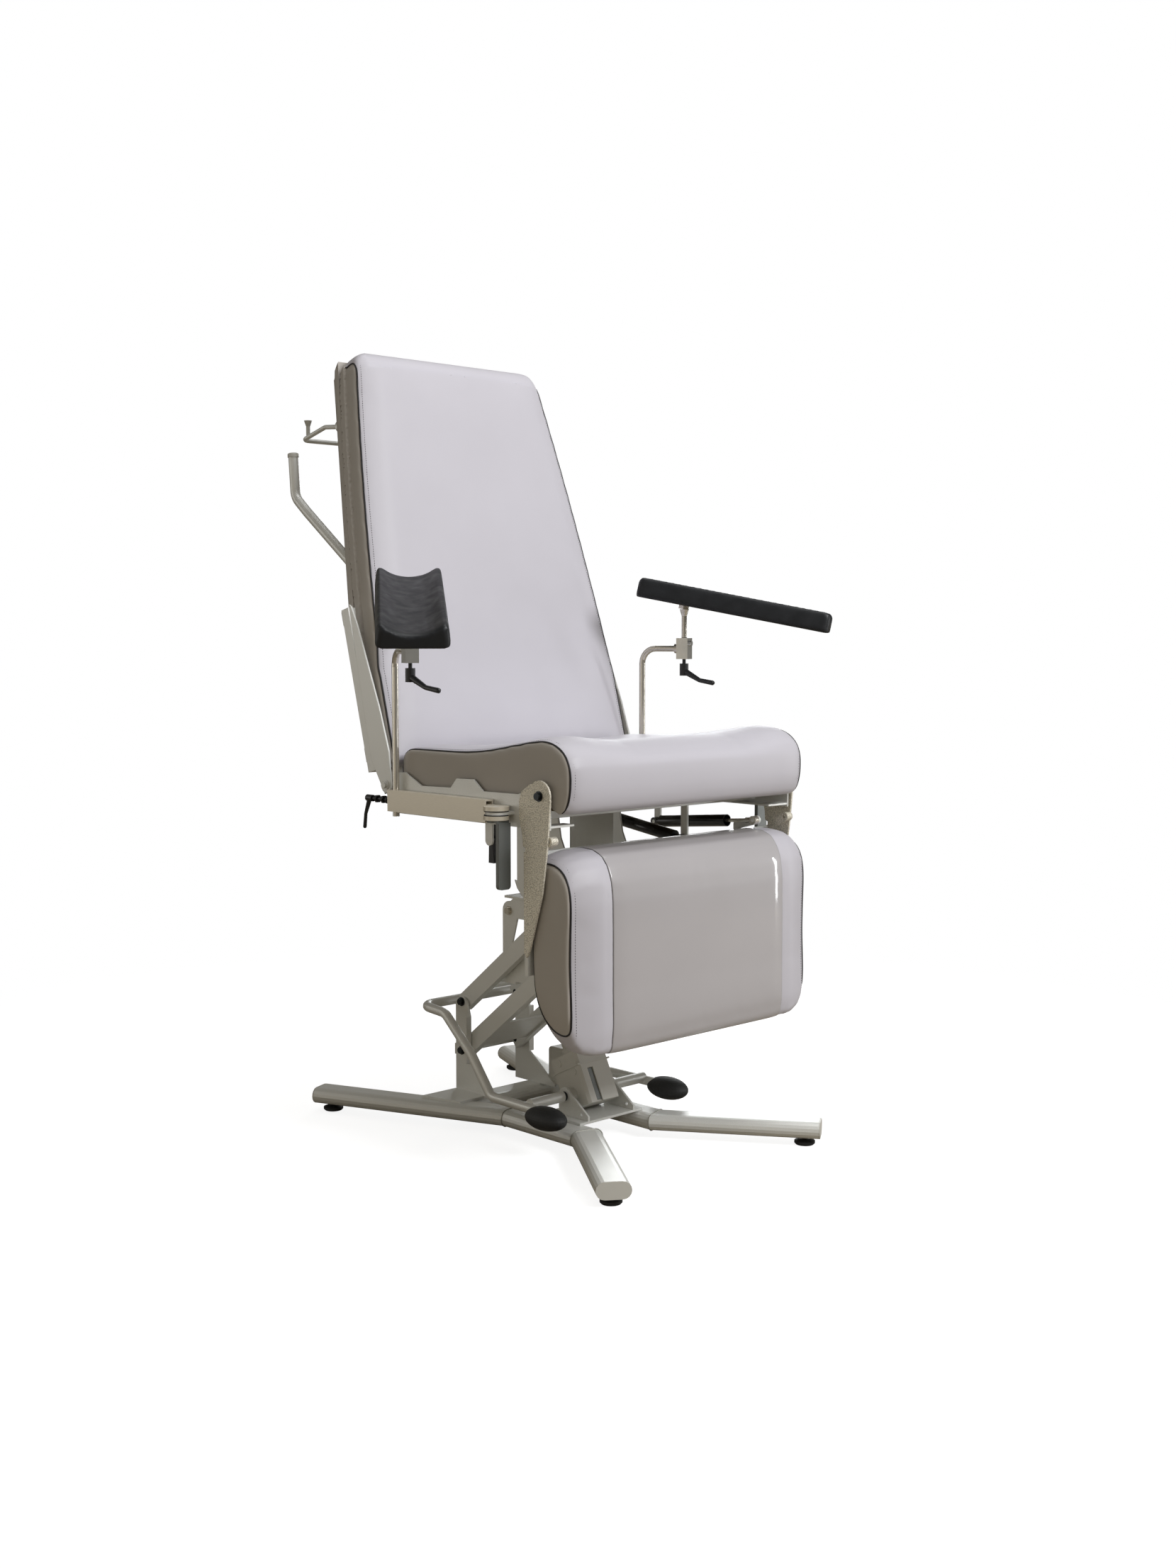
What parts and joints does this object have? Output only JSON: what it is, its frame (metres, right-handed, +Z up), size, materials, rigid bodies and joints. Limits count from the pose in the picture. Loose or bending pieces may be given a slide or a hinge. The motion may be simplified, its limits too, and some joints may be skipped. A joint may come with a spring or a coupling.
{
  "type": "phlebotomy chair",
  "caption": "Blood-draw chair with a reclining back, a leg rest and two swinging arm gutters, on a parallelogram lift with splayed tube feet.",
  "frame": {"origin": "on the floor below the middle of the chair's overall box, in its plane of symmetry", "axes": "+Z up, +X to the sitter's left, the sitter faces -Y; the plane X = 0 is the plane of symmetry of everything but the gas springs, the release lever and the way the two gutters are turned"},
  "size_m": [1.2887, 1.0735, 1.688],
  "materials": {
    "frame_paint": "satin, fine texture",
    "hammer_paint": "hammer texture",
    "upholstery": "satin",
    "clear_cover": "gloss",
    "board_wood": "matte",
    "board_skin": "satin",
    "grey_plastic": "satin",
    "black_plastic": "satin",
    "black_rubber": "matte",
    "black_paint": "gloss",
    "dark_grey_metal": "satin",
    "bright_steel": "brushed",
    "block_chrome": "bright",
    "bar_aluminium": "brushed"
  },
  "bodies": {
    "base": {"floor_rails": "frame_paint", "rail_end_caps": "grey_plastic", "levelling_feet": "black_rubber", "rear_cross_tube": "frame_paint", "lift_posts": "frame_paint", "post_tie_plate": "frame_paint", "drive_bracket": "frame_paint", "control_box": "grey_plastic", "base_pivot_pins": "bright_steel"},
    "lower_arms": {"lower_arms": "frame_paint"},
    "upper_arms": {"upper_arms": "frame_paint"},
    "drive": {"drive_housing": "grey_plastic", "drive_outer_tube": "grey_plastic"},
    "drive_rod": {"drive_push_rod": "bright_steel"},
    "seat": {"lift_carriage": "frame_paint", "carriage_pins": "bright_steel", "seat_neck": "frame_paint", "seat_side_plates": "frame_paint", "seat_cross_tubes": "frame_paint", "seat_board": "board_wood", "board_plugs": "black_plastic", "seat_cushion": "upholstery", "leg_hinge_pins": "bright_steel", "swing_tongues": "frame_paint", "friction_washers": "black_rubber"},
    "release_lever": {"gas_release_lever": "black_plastic"},
    "leg_rest": {"leg_side_plates": "hammer_paint", "leg_board": "frame_paint", "leg_cushion": "upholstery", "leg_clear_cover": "clear_cover"},
    "back_rest": {"back_side_plates": "frame_paint", "back_frame": "frame_paint", "back_board": "board_skin", "back_cushion": "upholstery", "push_handles": "frame_paint", "push_handle_caps": "grey_plastic", "roll_holder": "frame_paint", "roll_holder_pegs": "grey_plastic"},
    "leg_cylinder": {"leg_gas_cylinder": "black_paint"},
    "leg_rod": {"leg_gas_rod": "bright_steel"},
    "back_cylinder": {"back_gas_cylinder": "black_paint"},
    "back_rod": {"back_gas_rod": "bright_steel"},
    "pedal": {"foot_bar": "frame_paint", "foot_pads": "black_rubber"},
    "right_arm_bar": {"arm_bar_right": "bar_aluminium"},
    "right_arm_post": {"arm_post_right": "bright_steel"},
    "right_clamp_block": {"clamp_block_right": "block_chrome"},
    "right_clamp_lever": {"clamp_lever_right": "black_plastic"},
    "right_ball_stem": {"ball_stem_right": "bright_steel"},
    "right_gutter": {"gutter_right": "black_plastic"},
    "right_post_lever": {"post_lever_right": "black_plastic"},
    "right_swing_handle": {"swing_handle_right": "dark_grey_metal"},
    "left_arm_bar": {"arm_bar_left": "bar_aluminium"},
    "left_arm_post": {"arm_post_left": "bright_steel"},
    "left_clamp_block": {"clamp_block_left": "block_chrome"},
    "left_clamp_lever": {"clamp_lever_left": "black_plastic"},
    "left_ball_stem": {"ball_stem_left": "bright_steel"},
    "left_gutter": {"gutter_left": "black_plastic"},
    "left_post_lever": {"post_lever_left": "black_plastic"},
    "left_swing_handle": {"swing_handle_left": "dark_grey_metal"}
  },
  "joints": [
    {"name": "lift", "type": "hinge", "parent": "base", "child": "lower_arms", "pos_m": [0, 0.188, 0.147], "axis": [1, 0, 0], "range_deg": [0, 26]},
    {"name": "upper_arm_turn", "type": "hinge", "parent": "base", "child": "upper_arms", "pos_m": [0, 0.188, 0.257], "axis": [1, 0, 0], "range_deg": [-1, 27]},
    {"name": "seat_level", "type": "hinge", "parent": "lower_arms", "child": "seat", "pos_m": [0, -0.07204, 0.35017], "axis": [1, 0, 0], "range_deg": [-27, 1]},
    {"name": "drive_lean", "type": "hinge", "parent": "base", "child": "drive", "pos_m": [0, -0.125, 0.098], "axis": [1, 0, 0], "range_deg": [-1, 2]},
    {"name": "drive_rod_turn", "type": "hinge", "parent": "seat", "child": "drive_rod", "pos_m": [0, 0.06, 0.473], "axis": [1, 0, 0], "range_deg": [-1, 2]},
    {"name": "leg_raise", "type": "hinge", "parent": "seat", "child": "leg_rest", "pos_m": [0, -0.362, 0.769], "axis": [-1, 0, 0], "range_deg": [0, 60]},
    {"name": "leg_cylinder_turn", "type": "hinge", "parent": "seat", "child": "leg_cylinder", "pos_m": [0.25, -0.08, 0.657], "axis": [-1, 0, 0], "range_deg": [-2, 15]},
    {"name": "leg_rod_turn", "type": "hinge", "parent": "leg_rest", "child": "leg_rod", "pos_m": [0.25, -0.3712, 0.68148], "axis": [-1, 0, 0], "range_deg": [-65, 2]},
    {"name": "back_recline", "type": "hinge", "parent": "seat", "child": "back_rest", "pos_m": [0, 0.111, 0.762], "axis": [-1, 0, 0], "range_deg": [0, 60]},
    {"name": "back_cylinder_turn", "type": "hinge", "parent": "seat", "child": "back_cylinder", "pos_m": [0.124, -0.28, 0.645], "axis": [-1, 0, 0], "range_deg": [-6, 1]},
    {"name": "back_rod_turn", "type": "hinge", "parent": "back_rest", "child": "back_rod", "pos_m": [0.124, 0.12142, 0.70291], "axis": [-1, 0, 0], "range_deg": [-66, 2]},
    {"name": "release_pull", "type": "hinge", "parent": "seat", "child": "release_lever", "pos_m": [-0.295, -0.158, 0.665], "axis": [1, 0, 0], "range_deg": [0, 12], "stiffness_Nm_per_rad": 2},
    {"name": "pedal_rock", "type": "hinge", "parent": "base", "child": "pedal", "pos_m": [0, -0.125, 0.098], "axis": [1, 0, 0], "range_deg": [-3, 3], "stiffness_Nm_per_rad": 200},
    {"name": "right_arm_swing", "type": "hinge", "parent": "seat", "child": "right_arm_bar", "pos_m": [-0.374, -0.262, 0.732], "axis": [0, 0, 1], "range_deg": [0, 90]},
    {"name": "right_post_height", "type": "slide", "parent": "right_arm_bar", "child": "right_arm_post", "axis": [0, 0, 1], "range_m": [-0.09, 0.02]},
    {"name": "right_block_turn", "type": "hinge", "parent": "right_arm_post", "child": "right_clamp_block", "pos_m": [-0.3965, -0.028, 1.04], "axis": [-0.3532, -0.9355, 0], "range_deg": [-10, 10]},
    {"name": "right_stem_tilt", "type": "hinge", "parent": "right_clamp_block", "child": "right_ball_stem", "pos_m": [-0.3965, -0.028, 1.06], "axis": [0.9355, -0.3532, 0], "range_deg": [-8, 8]},
    {"name": "right_gutter_swivel", "type": "hinge", "parent": "right_ball_stem", "child": "right_gutter", "pos_m": [-0.3965, -0.028, 1.138], "axis": [-0.1659, -0.2201, 0.9613], "range_deg": [-20, 45]},
    {"name": "right_clamp_lever_turn", "type": "hinge", "parent": "right_clamp_block", "child": "right_clamp_lever", "pos_m": [-0.3965, -0.028, 1.006], "axis": [0, 0, 1], "range_deg": [-45, 45]},
    {"name": "right_post_lever_turn", "type": "hinge", "parent": "right_arm_bar", "child": "right_post_lever", "pos_m": [-0.3595, 0.148, 0.732], "axis": [0, 1, 0], "range_deg": [0, 45]},
    {"name": "right_swing_handle_turn", "type": "hinge", "parent": "seat", "child": "right_swing_handle", "pos_m": [-0.374, -0.262, 0.715], "axis": [0, 0, 1], "range_deg": [-30, 30]},
    {"name": "left_arm_swing", "type": "hinge", "parent": "seat", "child": "left_arm_bar", "pos_m": [0.374, -0.262, 0.732], "axis": [0, 0, -1], "range_deg": [0, 90]},
    {"name": "left_post_height", "type": "slide", "parent": "left_arm_bar", "child": "left_arm_post", "axis": [0, 0, 1], "range_m": [-0.09, 0.02]},
    {"name": "left_block_turn", "type": "hinge", "parent": "left_arm_post", "child": "left_clamp_block", "pos_m": [0.3965, -0.028, 1.04], "axis": [0.3532, -0.9355, 0], "range_deg": [-10, 10]},
    {"name": "left_stem_tilt", "type": "hinge", "parent": "left_clamp_block", "child": "left_ball_stem", "pos_m": [0.3965, -0.028, 1.06], "axis": [0.9355, 0.3532, 0], "range_deg": [-8, 8]},
    {"name": "left_gutter_swivel", "type": "hinge", "parent": "left_ball_stem", "child": "left_gutter", "pos_m": [0.3965, -0.028, 1.138], "axis": [-0.1135, 0.1534, -0.9816], "range_deg": [-20, 45]},
    {"name": "left_clamp_lever_turn", "type": "hinge", "parent": "left_clamp_block", "child": "left_clamp_lever", "pos_m": [0.3965, -0.028, 1.006], "axis": [0, 0, 1], "range_deg": [-45, 45]},
    {"name": "left_post_lever_turn", "type": "hinge", "parent": "left_arm_bar", "child": "left_post_lever", "pos_m": [0.3595, 0.148, 0.732], "axis": [0, 1, 0], "range_deg": [-45, 0]},
    {"name": "left_swing_handle_turn", "type": "hinge", "parent": "seat", "child": "left_swing_handle", "pos_m": [0.374, -0.262, 0.715], "axis": [0, 0, 1], "range_deg": [-30, 30]}
  ],
  "couplings": [
    {"joint": "upper_arm_turn", "follows": "lift", "ratio": 1},
    {"joint": "seat_level", "follows": "lift", "ratio": -1},
    {"joint": "drive_lean", "follows": "lift", "ratio": 0.0189},
    {"joint": "drive_rod_turn", "follows": "lift", "ratio": 0.0189},
    {"joint": "leg_cylinder_turn", "follows": "leg_raise", "ratio": 0.104},
    {"joint": "leg_rod_turn", "follows": "leg_raise", "ratio": -0.896},
    {"joint": "back_cylinder_turn", "follows": "back_recline", "ratio": -0.062},
    {"joint": "back_rod_turn", "follows": "back_recline", "ratio": -1.062}
  ]
}
